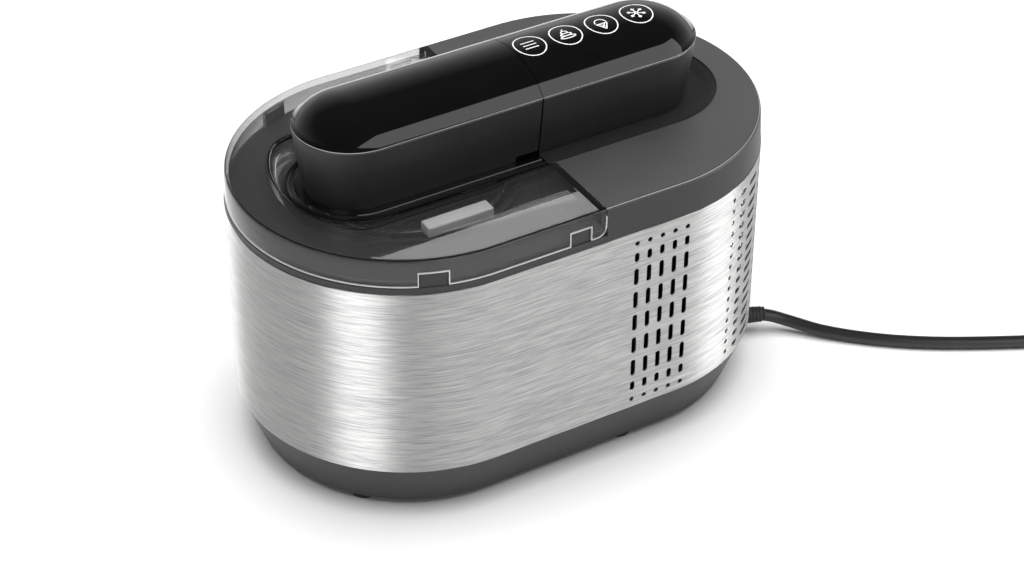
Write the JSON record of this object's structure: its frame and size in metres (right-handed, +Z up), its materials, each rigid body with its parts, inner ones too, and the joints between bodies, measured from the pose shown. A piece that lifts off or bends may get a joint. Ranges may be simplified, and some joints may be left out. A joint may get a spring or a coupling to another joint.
{
  "type": "ice cream maker",
  "caption": "Racetrack-shaped compressor ice cream maker: steel-wrapped body with slotted vents, clear lift-off lid with a motor head, lift-out bowl and turning paddle.",
  "frame": {"origin": "on the floor under the middle of the body", "axes": "+X along the body towards the vented compressor end, -Y the front, +Z up"},
  "size_m": [0.576, 0.2776, 0.22],
  "materials": {
    "body_plastic": "satin dark grey moulding",
    "head_plastic": "satin near-black moulding",
    "gloss_black": "polished black",
    "smoked_clear": "smoked clear plastic",
    "brushed_steel": "brushed lengthwise",
    "screw_steel": "plated",
    "aluminium": "satin anodised",
    "copper": "bare copper tube",
    "foam": "rigid polyurethane foam",
    "compressor_paint": "black enamel",
    "inner_plastic": "plain black moulding",
    "white_plastic": "food-grade white moulding",
    "board_green": "solder-masked board",
    "bush_brass": "turned",
    "gear_nylon": "moulded nylon",
    "rubber": "moulded rubber",
    "cord_black": "satin cable jacket"
  },
  "bodies": {
    "root": {"base_tray": "body_plastic", "rubber_feet": "rubber", "foot_screws": "screw_steel", "steel_wrap": "brushed_steel", "deck": "body_plastic", "freezing_well": "aluminium", "evaporator_coil": "copper", "foam_jacket": "foam", "compressor": "compressor_paint", "compressor_mounts": "rubber", "compressor_studs": "screw_steel", "condenser": "aluminium", "fan_frame": "inner_plastic", "fan_motor": "screw_steel", "filter_drier": "copper", "discharge_pipe": "copper", "suction_pipe": "copper", "liquid_pipe": "copper", "capillary_pipe": "copper", "power_board": "board_green", "board_parts": "inner_plastic", "board_screws": "screw_steel", "control_housing": "head_plastic", "touch_cover": "gloss_black", "head_screws": "screw_steel", "touch_board": "board_green", "touch_springs": "screw_steel", "contact_pads": "bush_brass", "cord_gland": "rubber", "cord_tube": "cord_black", "cord_coil": "cord_black", "cord_tail": "cord_black", "plug": "cord_black", "plug_blades": "bush_brass"},
    "lid": {"lid_window": "smoked_clear", "motor_housing": "head_plastic", "motor_cover": "gloss_black", "contact_pins": "bush_brass", "motor_bracket": "screw_steel", "bracket_screws": "screw_steel", "gear_motor": "screw_steel", "shaft_bushes": "bush_brass"},
    "drive": {"output_gear": "gear_nylon", "output_shaft": "screw_steel"},
    "pinion": {"motor_pinion": "bush_brass"},
    "bowl": {"bowl": "aluminium"},
    "handle": {"bowl_handle": "white_plastic"},
    "paddle": {"paddle": "white_plastic"},
    "fan": {"fan_rotor": "inner_plastic"}
  },
  "joints": [
    {"name": "lid_lift", "type": "slide", "parent": "root", "child": "lid", "axis": [0, 0, 1], "range_m": [0, 0.3]},
    {"name": "bowl_lift", "type": "slide", "parent": "root", "child": "bowl", "axis": [0, 0, 1], "range_m": [0, 0.13]},
    {"name": "handle_fold", "type": "hinge", "parent": "bowl", "child": "handle", "pos_m": [-0.058, 0, 0.162], "axis": [-1, 0, 0], "range_deg": [0, 90]},
    {"name": "drive_spin", "type": "hinge", "parent": "lid", "child": "drive", "pos_m": [-0.058, 0, 0.174], "axis": [0, 0, 1], "continuous": true},
    {"name": "pinion_spin", "type": "hinge", "parent": "lid", "child": "pinion", "pos_m": [-0.029, 0, 0.174], "axis": [0, 0, 1], "continuous": true},
    {"name": "paddle_spin", "type": "hinge", "parent": "bowl", "child": "paddle", "pos_m": [-0.058, 0, 0.1], "axis": [0, 0, 1], "continuous": true},
    {"name": "fan_spin", "type": "hinge", "parent": "root", "child": "fan", "pos_m": [0.06, -0.0555, 0.092], "axis": [0, 1, 0], "continuous": true}
  ],
  "couplings": [
    {"joint": "bowl_lift", "follows": "lid_lift", "ratio": 0.43333},
    {"joint": "handle_fold", "follows": "lid_lift", "rad_per_m": 5.236},
    {"joint": "pinion_spin", "follows": "drive_spin", "ratio": -3.1429},
    {"joint": "paddle_spin", "follows": "drive_spin", "ratio": 1}
  ]
}
